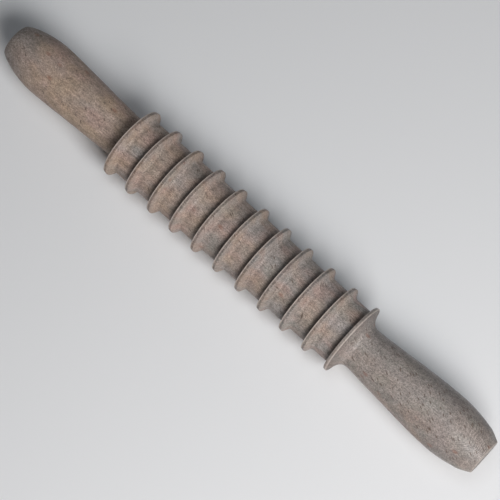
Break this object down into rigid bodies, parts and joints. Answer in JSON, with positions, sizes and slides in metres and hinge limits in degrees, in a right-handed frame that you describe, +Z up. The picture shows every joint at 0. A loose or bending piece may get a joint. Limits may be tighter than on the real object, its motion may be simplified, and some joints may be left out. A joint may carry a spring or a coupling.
{
  "type": "foot massage roller",
  "caption": "Hand-held wooden massage roller: flanged wooden rings that turn freely on a dowel axle between a plain handle and a handle with a flared collar.",
  "frame": {"origin": "on the surface that the roller rests on, under the middle of its length and its axis", "axes": "+X along the axis from the plain handle to the collared handle, +Z up"},
  "size_m": [0.4, 0.051, 0.051],
  "materials": {
    "beech_handle": "unfinished, weathered",
    "beech_ring": "unfinished, weathered",
    "beech_axle": "unfinished, smooth"
  },
  "bodies": {
    "handles": {"left_handle": "beech_handle", "axle": "beech_axle", "right_handle": "beech_handle"},
    "ring_01": {"ring_01": "beech_ring"},
    "ring_02": {"ring_02": "beech_ring"},
    "ring_03": {"ring_03": "beech_ring"},
    "ring_04": {"ring_04": "beech_ring"},
    "ring_05": {"ring_05": "beech_ring"},
    "ring_06": {"ring_06": "beech_ring"},
    "ring_07": {"ring_07": "beech_ring"},
    "ring_08": {"ring_08": "beech_ring"},
    "ring_09": {"ring_09": "beech_ring"},
    "ring_10": {"ring_10": "beech_ring"}
  },
  "joints": [
    {"name": "ring_01_turn", "type": "hinge", "parent": "handles", "child": "ring_01", "pos_m": [0, 0, 0.0255], "axis": [1, 0, 0], "continuous": true},
    {"name": "ring_02_turn", "type": "hinge", "parent": "handles", "child": "ring_02", "pos_m": [0, 0, 0.0255], "axis": [1, 0, 0], "continuous": true},
    {"name": "ring_03_turn", "type": "hinge", "parent": "handles", "child": "ring_03", "pos_m": [0, 0, 0.0255], "axis": [1, 0, 0], "continuous": true},
    {"name": "ring_04_turn", "type": "hinge", "parent": "handles", "child": "ring_04", "pos_m": [0, 0, 0.0255], "axis": [1, 0, 0], "continuous": true},
    {"name": "ring_05_turn", "type": "hinge", "parent": "handles", "child": "ring_05", "pos_m": [0, 0, 0.0255], "axis": [1, 0, 0], "continuous": true},
    {"name": "ring_06_turn", "type": "hinge", "parent": "handles", "child": "ring_06", "pos_m": [0, 0, 0.0255], "axis": [1, 0, 0], "continuous": true},
    {"name": "ring_07_turn", "type": "hinge", "parent": "handles", "child": "ring_07", "pos_m": [0, 0, 0.0255], "axis": [1, 0, 0], "continuous": true},
    {"name": "ring_08_turn", "type": "hinge", "parent": "handles", "child": "ring_08", "pos_m": [0, 0, 0.0255], "axis": [1, 0, 0], "continuous": true},
    {"name": "ring_09_turn", "type": "hinge", "parent": "handles", "child": "ring_09", "pos_m": [0, 0, 0.0255], "axis": [1, 0, 0], "continuous": true},
    {"name": "ring_10_turn", "type": "hinge", "parent": "handles", "child": "ring_10", "pos_m": [0, 0, 0.0255], "axis": [1, 0, 0], "continuous": true}
  ]
}
